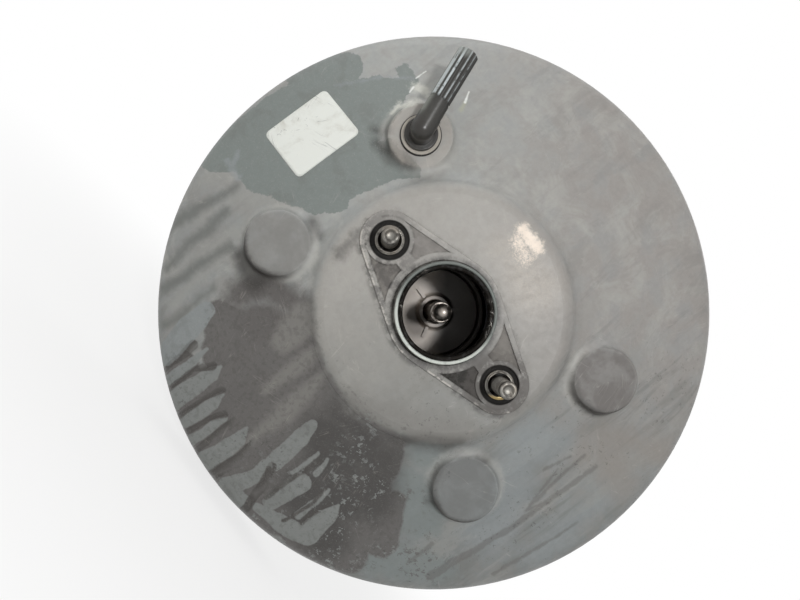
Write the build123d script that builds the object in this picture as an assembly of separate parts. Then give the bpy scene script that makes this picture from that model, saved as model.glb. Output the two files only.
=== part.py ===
from build123d import *
import os
from math import cos, radians, sin, sqrt

# Vacuum brake booster, single diaphragm, 11 inch. Millimetres.
# The booster's axis is Y and its front, the master cylinder side, faces -Y. +Z is up as fitted.
# y = 0 is the face that bolts to the bulkhead.

os.makedirs("parts", exist_ok=True)

# Driving dimensions: pressed steel shells
shell_radius = 138.0
sheet = 1.6
plateau_y = -96.4
shoulder_radius = 58.0
cone_foot_y = -72.5
cone_top = (63.0, -90.3)
lip_y = -104.0
bore_radius = 19.3
backing_sheet = 2.0
neck_radius = 27.0
neck_end_y = 30.0
rear_flat_radius = 66.0

# Driving dimensions: crimp, with the diaphragm's bead between the two flanges
rim_radius = 143.2
front_flange_radius = 141.4
rear_flange_y = -44.9
membrane = 2.4
front_flange_y = rear_flange_y - sheet - membrane - sheet
wall_start_y = front_flange_y - 4.0
crimp_tabs = 24
notch_width = 12.0

# Driving dimensions: master cylinder seat on the plateau
seat_height = 1.2
seat_hub_radius = 26.6
seat_ear_radius = 13.6
seat_rim = 2.6
seat_web = 8.0
window_depth = 0.9
counterbore_radius = 8.9

# Driving dimensions: pads on the front cone, and the vacuum port that stands on one of them
pad_radius = 15.2
pad_y = -91.0
pad_circle_radius = 82.3
pad_flare = 5.0
pad_edge_fillet = 0.9
pad_foot_fillet = 5.0
pad_angles = (30.0, 210.0, 330.0)
port_angle = 150.0
port_hole_radius = 8.0

# Driving dimensions: vacuum elbow
grommet_height = 1.8
arm_height = 9.6
elbow_angle = 111.5
elbow_reach = 39.8
elbow_body_radius = 5.4
hose_radius = 5.0
hose_bore_radius = 3.0
arm_shoulder_end = 6.2
groove_start = 13.6
groove_width = 1.4
groove_depth = 0.45
flute_count = 10
flute_radius = 0.9
flute_depth = 0.5

# Driving dimensions: studs
stud_radius = 4.0
stud_neck_radius = 4.2
front_stud_offset = 41.0
front_stud_tip_y = -117.0
rear_stud_offset = (40.0, 35.0)
rear_stud_tip_y = 26.0

# Driving dimensions: piston, control valve and push rods
valve_travel = 1.5
hub_radius = 26.0
tube_radius = 22.95
tube_bore_radius = 20.4
tube_end_y = 58.0
filter_bore_radius = 7.8
felt_y = 47.0
filter_y = 51.0
boss_radius = 15.0
boss_end_y = -36.0
bowl_floor_y = -15.0
disc_radius = 11.0
disc_floor_y = -22.0
disc_thickness = 7.0
plunger_radius = 6.44
plunger_bore_radius = 6.5
ball_radius = 6.0
ball_y = 12.0
rod_radius = 5.0
output_tip_y = -92.0
retainer_plate_y = -46.0
retainer_plate = 1.6
retainer_plate_radius = 23.0
retainer_bore_radius = 6.4
retainer_collar_radius = 8.4
retainer_end_y = -51.0
clevis_pin_radius = 5.0
clevis_pin_y = 134.0
clevis_base_y = 108.0
clevis_half_width = 10.2
clevis_gap_half = 6.2

# Driving dimensions: springs, as mean radius, wire radius, the two ends along Y and turns
return_coil = (29.6, 1.7, -12.6, -92.6, 6)
poppet_coil = (9.6, 0.6, 18.8, 33.8, 4)
rod_coil = (9.8, 0.7, 35.4, 43.4, 3)


def at_angle(radius, angle):
    """Point at this angle round the booster's axis, seen from the front, in the XZ plane."""
    return (radius * cos(radians(angle)), 0, radius * sin(radians(angle)))


def polyline(corners, close):
    """Rounded polyline in the XY plane through (radius, y, fillet) corners."""
    points = [(corner[0], corner[1]) for corner in corners]
    rounded = corners if close else corners[1:-1]
    return FilletPolyline(*points, radius=[corner[2] for corner in rounded], close=close)


def turned(*corners):
    """Solid of revolution about Y with this closed half section."""
    return revolve(make_face(polyline(corners, True)), Axis.Y)


def strip(line, thickness, side):
    """Flat strip of even thickness along one side of a half-section line."""
    return make_face(offset(Wire(line.edges()), amount=thickness, side=side, closed=True).edges())


def pressed(line, thickness, side, gap=0):
    """Sheet of even thickness, revolved about Y, at this gap from a half-section line."""
    section = strip(line, gap + thickness, side)
    if gap:
        section -= strip(line, gap, side)
    return revolve(section, Axis.Y)


def disc(radius, y_from, y_to, centre=(0, 0, 0)):
    """Plain cylinder along Y."""
    plane = Plane.XZ.offset(-y_from)
    body = extrude(plane * Circle(radius), y_from - y_to)
    return Pos(*centre) * body


def ring(inner, outer, y_from, y_to):
    """Plain tube along Y."""
    return disc(outer, y_from, y_to) - disc(inner, y_from, y_to)


def save(node, solid):
    """Writes one sub-part, placed in the booster's own frame."""
    export_step(solid, f"parts/{node}.step")


def coil(radius, wire_radius, y_from, y_to, turns):
    """Helical compression spring along Y, with its ends one wire radius inside the given length."""
    start = min(y_from, y_to) + wire_radius
    height = abs(y_to - y_from) - 2 * wire_radius
    path = Helix(height / turns, height, radius, center=(0, start, 0), direction=(0, 1, 0))
    section = Plane(path @ 0, z_dir=path % 0) * RegularPolygon(wire_radius, 8)
    return sweep(section, path=path, is_frenet=True)


# Front shell

def front_line():
    """Outer face of the front shell, from its side wall to the lip of the hub collar."""
    return (
        (shell_radius, wall_start_y, 0),
        (shell_radius, cone_foot_y, 9.0),
        (cone_top[0], cone_top[1], 9.0),
        (shoulder_radius, plateau_y, 8.0),
        (bore_radius + backing_sheet + sheet, plateau_y, 2.4),
        (bore_radius + backing_sheet + sheet, lip_y, 0),
    )


def filled(line):
    """Solid under a half-section line, closed down to the axis."""
    first, last = line @ 0, line @ 1
    closing = Polyline((first.X, first.Y), (0, first.Y), (0, last.Y), (last.X, last.Y))
    return revolve(make_face(line.edges() + closing.edges()), Axis.Y)


def pad(radius, top_y, angle):
    """Flat round boss with a flared side that stands out of the cone at this angle."""
    boss = turned(
        (0, top_y, 0),
        (radius, top_y, 0),
        (radius + pad_flare, cone_foot_y, 0),
        (0, cone_foot_y, 0),
    )
    return Pos(*at_angle(pad_circle_radius, angle)) * boss


def foot_edges(body, angle):
    """Edges where the side of the pad at this angle meets the cone."""
    middle = Vector(*at_angle(pad_circle_radius, angle))
    found = []
    for edge in body.edges().filter_by(GeomType.LINE, reverse=True).filter_by(GeomType.CIRCLE, reverse=True):
        centre = edge.center(CenterOf.BOUNDING_BOX)
        if abs(Vector(centre.X, 0, centre.Z) - middle) < pad_flare:
            found.append(edge)
    return found


def seat_outline(margin=0):
    """Master cylinder flange outline: two stud ends joined to the hub by straight tangents."""
    circles = [Circle(seat_hub_radius - margin)]
    circles += [Pos(x, 0) * Circle(seat_ear_radius - margin) for x in (-front_stud_offset, front_stud_offset)]
    return make_hull([edge for circle in circles for edge in circle.edges()])


def seat_windows():
    """Four shallow pockets of the seat, between its rim, the hub and each stud."""
    windows = seat_outline(seat_rim) - Circle(seat_hub_radius + 0.8)
    windows -= Rectangle(2 * front_stud_offset, seat_web)
    for x in (-front_stud_offset, front_stud_offset):
        windows -= Pos(x, 0) * Circle(seat_ear_radius - seat_rim)
    return windows


def seat():
    """Raised seat with its pockets, and a counterbore round each stud."""
    plane = Plane.XZ.offset(-plateau_y)
    plate = extrude(plane * (seat_outline() - Circle(bore_radius + 4.7)), seat_height)
    plate = chamfer(plate.faces().sort_by(Axis.Y)[0].outer_wire().edges(), 0.35)
    plate -= extrude(plane.offset(seat_height - window_depth) * seat_windows(), window_depth)
    for x in (-front_stud_offset, front_stud_offset):
        plate -= disc(counterbore_radius, plateau_y, plateau_y - seat_height, (x, 0, 0))
    return plate


def rim_edges(body, y):
    """Circular edges that lie in the plane at this y."""
    return [edge for edge in body.edges().filter_by(GeomType.CIRCLE) if abs(edge.center().Y - y) < 0.01]


def front_shell():
    line = polyline(front_line(), False)
    inner = offset(Wire(line.edges()), amount=sheet, side=Side.RIGHT, closed=False)
    outside = filled(line)
    inside = filled(inner)
    angles = pad_angles + (port_angle,)
    for angle in angles:
        outside += pad(pad_radius, pad_y, angle)
        inside += pad(pad_radius - sheet, pad_y + sheet, angle)
    outside = fillet(rim_edges(outside, pad_y), pad_edge_fillet)
    for angle in angles:
        outside = fillet(foot_edges(outside, angle), pad_foot_fillet)
    shell = outside - inside + seat()
    for x in (-front_stud_offset, front_stud_offset):
        shell -= disc(stud_neck_radius, plateau_y + 5, plateau_y - 1, (x, 0, 0))
    shell -= disc(port_hole_radius, cone_foot_y, pad_y - 1, at_angle(pad_circle_radius, port_angle))
    flange = polyline((
        (front_flange_radius, front_flange_y, 0),
        (shell_radius, front_flange_y, 2.0),
        (shell_radius, wall_start_y, 0),
    ), False)
    return fillet(rim_edges(shell, lip_y), 0.7) + pressed(flange, sheet, Side.RIGHT)


def front_reinforcement():
    """Dished backing plate with the collar that nests in the shell's and guides the master cylinder."""
    back = plateau_y + sheet
    line = polyline((
        (51.0, back + 9.0, 0),
        (53.5, back, 4.5),
        (bore_radius + backing_sheet, back, 2.4 + sheet),
        (bore_radius + backing_sheet, lip_y - 0.5, 0),
    ), False)
    plate = pressed(line, backing_sheet, Side.RIGHT)
    for x in (-front_stud_offset, front_stud_offset):
        plate -= disc(stud_neck_radius, back + 5, back - 1, (x, 0, 0))
    return fillet(rim_edges(plate, lip_y - 0.5), 0.9)


def front_stud(x):
    """Stud pressed in from inside the shell, with a collar that stands in the seat's counterbore."""
    back = plateau_y + sheet + backing_sheet
    return Pos(x, 0, 0) * turned(
        (0, back + 3.4, 0),
        (7.0, back + 3.4, 0.6),
        (7.0, back, 0),
        (stud_neck_radius, back, 0),
        (stud_neck_radius, plateau_y, 0),
        (6.8, plateau_y, 0),
        (6.8, plateau_y - 1.9, 0.6),
        (stud_radius, plateau_y - 1.9, 0),
        (stud_radius, front_stud_tip_y + 3.0, 0),
        (2.9, front_stud_tip_y, 0.4),
        (1.5, front_stud_tip_y, 0),
        (0, front_stud_tip_y + 1.0, 0),
    )


# Rear shell

def rear_shell():
    """Shallow pressing with the neck, the bulkhead flat and the rim that is rolled over the front flange."""
    line = polyline((
        (neck_radius, neck_end_y, 0),
        (neck_radius, 0, 2.5),
        (rear_flat_radius, 0, 8.0),
        (90.0, -12.5, 5.0),
        (95.0, -19.0, 5.0),
        (124.0, -33.0, 10.0),
        (131.0, rear_flange_y, 2.5),
        (rim_radius, rear_flange_y, 1.7),
        (rim_radius, front_flange_y - sheet, 1.7),
        (shell_radius + 2.2, front_flange_y - sheet, 0),
    ), False)
    shell = pressed(line, sheet, Side.RIGHT)
    for x, z in rear_stud_places():
        shell -= disc(stud_neck_radius, 5, -5, (x, 0, z))
    return shell - crimp_notches()


def crimp_notches():
    """Gaps that cut the rolled hem into separate crimped tabs."""
    depth = 2 * sheet
    places = Plane.XZ.offset(-front_flange_y) * PolarLocations(rim_radius, crimp_tabs)
    notch = Box(depth * 2, notch_width, depth, align=(Align.CENTER, Align.CENTER, Align.MIN))
    return [place * notch for place in places]


def rear_stud_places():
    return [(x, z) for x in (-rear_stud_offset[0], rear_stud_offset[0])
            for z in (-rear_stud_offset[1], rear_stud_offset[1])]


def rear_reinforcement():
    """Backing plate inside the rear shell, with rounded corners under the four stud heads."""
    plane = Plane.XZ.offset(sheet)
    corners = [Pos(x, z) * Circle(10.4) for x, z in rear_stud_places()]
    outline = make_hull([edge for corner in corners for edge in corner.edges()])
    plate = extrude(plane * (outline - Circle(neck_radius + 4.0)), backing_sheet)
    for x, z in rear_stud_places():
        plate -= disc(stud_neck_radius, 0, -10, (x, 0, z))
    return plate


def rear_stud(x, z):
    """Stud pressed in from inside the rear shell."""
    back = -sheet - backing_sheet
    return Pos(x, 0, z) * turned(
        (0, back - 3.0, 0),
        (7.0, back - 3.0, 0.6),
        (7.0, back, 0),
        (stud_neck_radius, back, 0),
        (stud_neck_radius, 0, 0),
        (stud_radius, 0, 0),
        (stud_radius, rear_stud_tip_y - 3.0, 0),
        (2.9, rear_stud_tip_y, 0.4),
        (0, rear_stud_tip_y, 0),
    )


def neck_seal():
    """Lip seal in the neck, round the valve body's tube."""
    return turned(
        (neck_radius - sheet, 3.0, 0),
        (neck_radius - sheet, 12.0, 0),
        (24.2, 12.0, 0),
        (24.2, 6.0, 0.4),
        (tube_radius + 0.05, 5.6, 0),
        (tube_radius + 0.05, 3.6, 0),
        (23.6, 3.0, 0),
    )


def neck_bearing():
    """Plastic guide ring behind the seal, with a rear flange against the neck's end."""
    return turned(
        (tube_radius + 0.05, 13.0, 0),
        (neck_radius - sheet, 13.0, 0.4),
        (neck_radius - sheet, neck_end_y, 0),
        (neck_radius - 0.2, neck_end_y, 0),
        (neck_radius - 0.2, neck_end_y + 1.6, 0.4),
        (24.0, neck_end_y + 1.6, 0),
        (24.0, 22.0, 0),
        (tube_radius + 0.05, 21.0, 0),
    )


# Vacuum port

def port_grommet():
    """Rubber grommet: a flange on each side of the pad's sheet and a bore for the elbow's stem."""
    outer_face = pad_y - grommet_height
    back = pad_y + sheet
    grommet = turned(
        (6.05, outer_face, 0),
        (9.7, outer_face, 1.0),
        (9.7, pad_y, 0),
        (port_hole_radius, pad_y, 0),
        (port_hole_radius, back, 0),
        (9.4, back, 0),
        (9.4, back + 1.6, 0.4),
        (7.6, back + 5.0, 0.8),
        (6.05, back + 5.0, 0),
    )
    return Pos(*at_angle(pad_circle_radius, port_angle)) * grommet


def hose_nipple(plane):
    """Arm of the elbow: a shoulder, a plain stretch, a ring groove, then flutes to the chamfered end."""
    arm = extrude(plane * Circle(hose_radius), elbow_reach)
    arm = chamfer(arm.faces().sort_by(Axis(plane.origin, plane.z_dir))[-1].edges(), 0.8)
    arm += extrude(plane * Circle(elbow_body_radius), arm_shoulder_end)
    groove = Circle(hose_radius + 1) - Circle(hose_radius - groove_depth)
    arm -= extrude(plane.offset(groove_start) * groove, groove_width)
    flutes = plane.offset(groove_start + groove_width / 2)
    for place in flutes * PolarLocations(hose_radius + flute_radius - flute_depth, flute_count):
        arm -= place * Cylinder(flute_radius, elbow_reach, align=(Align.CENTER, Align.CENTER, Align.MIN))
    return arm


def vacuum_elbow():
    """Check valve elbow: a stem in the grommet, a flange, a rounded body and the hose nipple."""
    outer_face = pad_y - grommet_height
    arm_y = outer_face - arm_height
    inner_end = outer_face + 13.0
    stem = turned(
        (0, inner_end, 0),
        (5.2, inner_end, 0.6),
        (6.6, inner_end - 2.8, 0.3),
        (6.6, inner_end - 4.0, 0),
        (6.0, inner_end - 4.0, 0),
        (6.0, outer_face, 0),
        (7.8, outer_face, 0),
        (7.8, outer_face - 2.0, 0.6),
        (elbow_body_radius, outer_face - 2.0, 0),
        (elbow_body_radius, arm_y, 0),
        (0, arm_y, 0),
    )
    bend = Pos(0, arm_y, 0)
    stem += bend * Sphere(elbow_body_radius)
    arm_plane = Plane((0, arm_y, 0), x_dir=(0, 1, 0), z_dir=at_angle(1, elbow_angle))
    bore = extrude(arm_plane * Circle(hose_bore_radius), elbow_reach)
    bore += disc(hose_bore_radius, inner_end, arm_y) + bend * Sphere(hose_bore_radius)
    return Pos(*at_angle(pad_circle_radius, port_angle)) * (stem + hose_nipple(arm_plane) - bore)


# Diaphragm and power piston

def backing_line():
    """Rear face of the diaphragm where the plate backs it, from the rim to the hub."""
    return (
        (119.4, -38.5, 6.0),
        (61.0, -8.6, 8.0),
        (hub_radius, -8.6, 0),
    )


def diaphragm():
    """Rolling rubber diaphragm: bead in the crimp, one convolution, then the stretch on the plate."""
    line = polyline((
        (front_flange_radius - 0.2, rear_flange_y - sheet, 0),
        (130.4, rear_flange_y - sheet, 4.0),
        (130.4, -61.0, 5.4),
        (119.4, -61.0, 5.4),
    ) + backing_line(), False)
    return pressed(line, membrane, Side.LEFT)


def diaphragm_plate():
    """Dished steel plate in front of the diaphragm."""
    line = polyline(((119.4, -43.5, 0),) + backing_line(), False)
    return pressed(line, 1.4, Side.LEFT, membrane)


def valve_body():
    """Moulded hub of the piston: ribbed bowl and boss in front, valve chamber and filter tube behind."""
    body = turned(
        (plunger_bore_radius, 2.0, 0),
        (plunger_bore_radius, disc_floor_y, 0),
        (disc_radius, disc_floor_y, 0),
        (disc_radius, boss_end_y, 0),
        (boss_radius, boss_end_y, 0.6),
        (boss_radius, bowl_floor_y, 1.2),
        (19.5, bowl_floor_y, 1.2),
        (23.4, -46.0, 3.0),
        (23.6, -50.0, 0.5),
        (hub_radius, -50.0, 0.9),
        (hub_radius, -8.6, 0),
        (36.0, -8.6, 0.5),
        (36.0, -4.6, 1.0),
        (tube_radius, -4.6, 0),
        (tube_radius, tube_end_y, 0.8),
        (tube_bore_radius, tube_end_y, 0),
        (tube_bore_radius, 28.0, 0),
        (19.0, 28.0, 0),
        (19.0, 6.0, 1.0),
        (11.2, 6.0, 0.6),
        (11.2, 15.7, 0.5),
        (9.2, 15.7, 0.5),
        (9.2, 2.0, 0),
    )
    ribs = Plane.XZ.offset(-bowl_floor_y - 1.0) * Rot(0, 0, -14) * PolarLocations(boss_radius + 3.5, 6)
    for place in ribs:
        rib = place * Box(9.0, 1.8, 14.0, align=(Align.CENTER, Align.CENTER, Align.MIN))
        body += rib & disc(hub_radius - 1.0, bowl_floor_y + 2.0, boss_end_y)
    ports = Plane.XZ.offset(-10.0) * Rot(0, 0, 16) * PolarLocations(17.2, 6)
    for place in ports:
        body -= place * Cylinder(1.7, 60.0)
    return body - key_slot(0.2)


def key_slot(gap):
    """Room for the stop key: a flat slot from one side of the hub to just past the plunger."""
    return Pos(-7.0, -1.5, 0) * Box(32.0 + 2 * gap, 2.2 + 2 * gap, 11.0 + 2 * gap)


def stop_key():
    """Forked key that stops the plunger in the hub."""
    key = Pos(-7.25, -1.5, 0) * Box(31.5, 2.2, 11.0)
    fork = Pos(5.0, -1.5, 0) * Box(10.0, 4.0, 8.6)
    return key - fork - disc(4.3, -4.0, 1.0)


def control_plunger():
    """Plunger that feels the reaction disc and carries the rod's ball in a rolled-in socket."""
    front = disc_floor_y + valve_travel + 0.1
    plunger = turned(
        (0, front, 0),
        (plunger_radius, front, 0.6),
        (plunger_radius, -3.2, 0),
        (4.0, -3.2, 0),
        (4.0, 1.3, 0),
        (plunger_radius, 1.3, 0),
        (plunger_radius, 4.0, 0),
        (8.4, 4.0, 0.5),
        (8.4, ball_y + 4.0, 0.5),
        (0, ball_y + 4.0, 0),
    )
    return plunger - Pos(0, ball_y, 0) * Sphere(ball_radius + 0.05)


def poppet_valve():
    """Rubber valve: sealing face behind the plunger, bellows and a bead that the retainer clamps."""
    return turned(
        (6.2, 16.3, 0),
        (15.6, 16.3, 0.5),
        (15.6, 19.0, 0.5),
        (13.6, 19.4, 0),
        (13.6, 25.0, 1.0),
        (16.4, 28.2, 1.0),
        (tube_bore_radius, 28.2, 0),
        (tube_bore_radius, 31.4, 0),
        (15.0, 31.4, 1.0),
        (12.0, 26.4, 1.0),
        (12.0, 18.6, 0),
        (6.2, 18.6, 0),
    )


def valve_retainer():
    """Pressed ring that clamps the poppet's bead and seats both small springs."""
    return turned(
        (8.4, 34.0, 0),
        (16.0, 34.0, 1.0),
        (16.6, 31.4, 0.6),
        (tube_bore_radius, 31.4, 0.8),
        (tube_bore_radius, 38.0, 0),
        (19.2, 38.0, 0),
        (19.2, 32.8, 0.4),
        (17.8, 32.8, 0.4),
        (17.0, 35.2, 0.6),
        (8.4, 35.2, 0),
    )


def output_rod():
    """Push rod to the master cylinder: a head on the reaction disc and a collar for the adjuster."""
    head_y = disc_floor_y - disc_thickness
    rod = turned(
        (0, head_y, 0),
        (disc_radius - 0.1, head_y, 0.5),
        (disc_radius - 0.1, head_y - 5.6, 1.0),
        (5.0, head_y - 6.6, 1.5),
        (4.4, -68.0, 2.0),
        (5.4, -71.0, 0.8),
        (5.4, -80.0, 0.8),
        (0, -80.0, 0),
    )
    return rod - disc(2.5, -64.0, -80.0)


def output_rod_tip():
    """Adjuster screwed into the rod: hexagon and domed end."""
    tip = disc(2.5, -66.0, -80.0)
    tip += extrude(Plane.XZ.offset(80.0) * RegularPolygon(4.7, 6), 4.4)
    dome = 4.1
    tip += disc(dome, -84.0, output_tip_y + dome) + Pos(0, output_tip_y + dome, 0) * Sphere(dome)
    return tip


def rod_retainer():
    """Moulded cap on the boss: it keeps the output rod's head in, and its plate closes the bowl."""
    back = retainer_plate_y + retainer_plate
    cap = turned(
        (retainer_bore_radius, boss_end_y, 0),
        (boss_radius, boss_end_y, 0),
        (boss_radius, boss_end_y + 6.0, 0),
        (boss_radius + 1.6, boss_end_y + 6.0, 0.4),
        (boss_radius + 1.6, back, 1.2),
        (retainer_plate_radius, back, 0),
        (retainer_plate_radius, retainer_plate_y, 0.6),
        (retainer_collar_radius + 1.0, retainer_plate_y, 1.5),
        (retainer_collar_radius, retainer_end_y, 0.6),
        (retainer_bore_radius, retainer_end_y, 0.4),
    )
    face = Plane.XZ.offset(-retainer_plate_y) * Rot(0, 0, 58.0)
    for place in face * PolarLocations(retainer_collar_radius + 3.0, 3):
        cap += place * Box(7.0, 1.6, 1.6, align=(Align.CENTER, Align.CENTER, Align.MIN))
    return cap


# Input rod

def input_rod():
    """Pedal push rod: a ball for the plunger's socket, a collar for its return spring and a plain shank."""
    rod = turned(
        (0, ball_y, 0),
        (3.6, ball_y + 2.0, 0),
        (3.6, 21.0, 0),
        (rod_radius, 24.0, 0),
        (rod_radius, 43.6, 0),
        (11.0, 43.6, 0.3),
        (11.0, 45.0, 0.3),
        (rod_radius, 45.0, 0),
        (rod_radius, clevis_base_y + 9.0, 0.6),
        (0, clevis_base_y + 9.0, 0),
    )
    return rod + Pos(0, ball_y, 0) * Sphere(ball_radius)


def lock_nut():
    nut = extrude(Plane.XZ.offset(-clevis_base_y) * RegularPolygon(17.0 / sqrt(3), 6), 8.0)
    return nut - disc(rod_radius, clevis_base_y, clevis_base_y - 8.0)


def clevis():
    """Forked end for the brake pedal's pin."""
    side = Plane.YZ.offset(-clevis_half_width)
    outline = make_hull(
        (Pos(clevis_pin_y, 0) * Circle(9.0)).edges()
        + (Pos(clevis_base_y + 6.0, 0) * Rectangle(12.0, 18.0)).edges()
    )
    fork = extrude(side * outline, 2 * clevis_half_width)
    gap = Pos(0, clevis_base_y + 12.0, 0) * Box(
        2 * clevis_gap_half, 40.0, 20.0, align=(Align.CENTER, Align.MIN, Align.CENTER))
    fork -= gap
    fork -= extrude(side * (Pos(clevis_pin_y, 0) * Circle(clevis_pin_radius)), 2 * clevis_half_width)
    return fork - disc(rod_radius, clevis_base_y + 12.0, clevis_base_y)


def dust_boot():
    """Rubber bellows from the neck to the push rod."""
    folds = []
    for fold in range(4):
        start = neck_end_y + 4.0 + 8.0 * fold
        folds += [(31.0, start, 1.4), (25.4, start + 4.0, 1.4)]
    line = polyline((
        (neck_radius, 13.0, 0),
        (neck_radius, neck_end_y + 1.2, 1.0),
        *folds,
        (27.0, 68.0, 2.0),
        (14.0, 74.0, 2.0),
        (rod_radius + 0.2, 77.0, 1.0),
        (rod_radius + 0.2, 86.0, 0),
    ), False)
    boot = pressed(line, 1.8, Side.RIGHT)
    for place in Plane.XZ.offset(-71.0) * PolarLocations(20.5, 4):
        boot -= place * Cylinder(2.2, 16.0)
    return boot


housing = {
    "front_shell": front_shell(),
    "front_reinforcement": front_reinforcement(),
    "master_cylinder_studs": Compound([front_stud(-front_stud_offset), front_stud(front_stud_offset)]),
    "rear_shell": rear_shell(),
    "rear_reinforcement": rear_reinforcement(),
    "bulkhead_studs": Compound([rear_stud(x, z) for x, z in rear_stud_places()]),
    "neck_seal": neck_seal(),
    "neck_bearing": neck_bearing(),
    "port_grommet": port_grommet(),
    "dust_boot": dust_boot(),
    "return_spring": coil(*return_coil),
}
piston = {
    "diaphragm": diaphragm(),
    "diaphragm_plate": diaphragm_plate(),
    "valve_body": valve_body(),
    "stop_key": stop_key(),
    "reaction_disc": disc(disc_radius, disc_floor_y, disc_floor_y - disc_thickness),
    "output_rod": output_rod(),
    "output_rod_tip": output_rod_tip(),
    "rod_retainer": rod_retainer(),
    "poppet_valve": poppet_valve(),
    "poppet_spring": coil(*poppet_coil),
    "valve_retainer": valve_retainer(),
    "rod_spring": coil(*rod_coil),
    "silencer_felt": ring(filter_bore_radius, tube_bore_radius, felt_y, filter_y),
    "air_filter": ring(filter_bore_radius, tube_bore_radius, filter_y, tube_end_y - 0.6),
}
rods = {
    "control_plunger": control_plunger(),
    "input_rod": input_rod(),
    "lock_nut": lock_nut(),
    "clevis": clevis(),
    "vacuum_elbow": vacuum_elbow(),
}
for group in (housing, piston, rods):
    for node, solid in group.items():
        save(node, solid)
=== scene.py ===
import math
import bmesh
import bpy
from mathutils import Matrix, Vector


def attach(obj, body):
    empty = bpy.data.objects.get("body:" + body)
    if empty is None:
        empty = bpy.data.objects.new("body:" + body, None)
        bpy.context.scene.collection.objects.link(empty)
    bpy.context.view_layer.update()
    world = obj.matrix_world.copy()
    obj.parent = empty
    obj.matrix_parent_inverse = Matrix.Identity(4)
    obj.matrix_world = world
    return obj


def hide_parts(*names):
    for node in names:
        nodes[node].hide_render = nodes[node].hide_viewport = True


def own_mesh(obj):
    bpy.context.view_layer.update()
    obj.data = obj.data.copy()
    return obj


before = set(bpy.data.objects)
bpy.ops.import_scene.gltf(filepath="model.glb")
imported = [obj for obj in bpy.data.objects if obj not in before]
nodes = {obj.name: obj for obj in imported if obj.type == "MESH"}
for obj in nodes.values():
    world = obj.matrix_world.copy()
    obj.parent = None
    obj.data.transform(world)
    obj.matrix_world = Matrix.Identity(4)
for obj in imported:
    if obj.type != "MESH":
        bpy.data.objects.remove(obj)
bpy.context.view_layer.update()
mm = 0.001
# metres to millimetres with y left out, and two directions across the front as (x, z)
flattened = (1 / mm, 0.0, 1 / mm)
riseWay, asideWay = (-0.797, 0.605), (0.604, 0.796)
print("frame loaded:", len(nodes), "nodes")

# main sizes shared by several pieces, in millimetres, y negative towards the master cylinder
sizes = {
    "coneFoot": (138.0, -72.5),
    "coneTop": (63.0, -90.3),
    "padCentre": (71.3, 41.15),
    "padEdge": 15.4,
    "plateauY": -96.4,
    "seatHub": 26.6,
    "seatEar": 13.6,
    "seatRim": 2.6,
    "seatWeb": 8.0,
    "hubGap": 0.8,
    "studX": 41.0,
    "studRadius": 4.0,
    "rearStuds": (40.0, 35.0),
    "pistonStroke": 30.0,
}


def tone(red, green, blue):
    def linear(value):
        part = value / 255
        return part / 12.92 if part <= 0.04045 else ((part + 0.055) / 1.055) ** 2.4
    return (linear(red), linear(green), linear(blue), 1.0)


# --- node helpers: each adds a node to the tree in hand and gives back its output socket

tree = None
floatSocket, colourSocket, vectorSocket = "NodeSocketFloat", "NodeSocketColor", "NodeSocketVector"


def join(value, socket):
    if isinstance(value, bpy.types.NodeSocket):
        tree.links.new(value, socket)
    else:
        socket.default_value = value


def put(kind, inputs=None, **settings):
    made = tree.nodes.new(kind)
    for key, value in settings.items():
        setattr(made, key, value)
    for key, value in (inputs or {}).items():
        join(value, made.inputs[key])
    return made


def calc(operation, first, second=0.0, third=0.0, clamp=False):
    return put("ShaderNodeMath", {0: first, 1: second, 2: third}, operation=operation, use_clamp=clamp).outputs[0]


def plus(first, second):
    return calc("ADD", first, second)


def minus(first, second):
    return calc("SUBTRACT", first, second)


def over(first, second):
    return calc("DIVIDE", first, second)


def most(first, second):
    return calc("MAXIMUM", first, second)


def least(first, second):
    return calc("MINIMUM", first, second)


def absolute(value):
    return calc("ABSOLUTE", value)


def root(value):
    return calc("SQRT", value)


def times(*values):
    total = values[0]
    for value in values[1:]:
        total = calc("MULTIPLY", total, value)
    return total


def remap(value, low, high, toLow=0.0, toHigh=1.0):
    ends = {"Value": value, "From Min": low, "From Max": high, "To Min": toLow, "To Max": toHigh}
    return put("ShaderNodeMapRange", ends, interpolation_type="SMOOTHSTEP").outputs["Result"]


def blend(factor, first, second):
    return put("ShaderNodeMix", {"Factor": factor, 6: first, 7: second}, data_type="RGBA").outputs[2]


def blendValue(factor, first, second):
    return put("ShaderNodeMix", {"Factor": factor, 2: first, 3: second}, data_type="FLOAT").outputs[0]


def vectorMath(operation, first, second=(0.0, 0.0, 0.0), output="Vector"):
    return put("ShaderNodeVectorMath", {0: first, 1: second}, operation=operation).outputs[output]


def scaled(vector, scale):
    return vectorMath("MULTIPLY", vector, scale)


def dot(first, second):
    return vectorMath("DOT_PRODUCT", first, second, "Value")


def lengthOf(vector):
    return vectorMath("LENGTH", vector, output="Value")


def place():
    return put("ShaderNodeTexCoord").outputs["Object"]


def split(vector):
    return put("ShaderNodeSeparateXYZ", {0: vector}).outputs


def flatPoint(x, z):
    return put("ShaderNodeCombineXYZ", {"X": x, "Z": z}).outputs[0]


def along(x, z, way):
    return plus(times(x, way[0]), times(z, way[1]))


def turned(vector, angle):
    return put("ShaderNodeVectorRotate", {"Vector": vector, "Angle": angle}, rotation_type="Y_AXIS").outputs["Vector"]


def cloud(vector, scale, detail=4.0, rough=0.55, twist=0.0, output="Fac"):
    look = {"Vector": vector, "Scale": scale, "Detail": detail, "Roughness": rough, "Distortion": twist}
    return put("ShaderNodeTexNoise", look).outputs[output]


def push(vector, scale, detail):
    # noise as a vector, about zero
    return vectorMath("SUBTRACT", cloud(vector, scale, detail, 0.6, output="Color"), (0.5, 0.5, 0.5))


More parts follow.
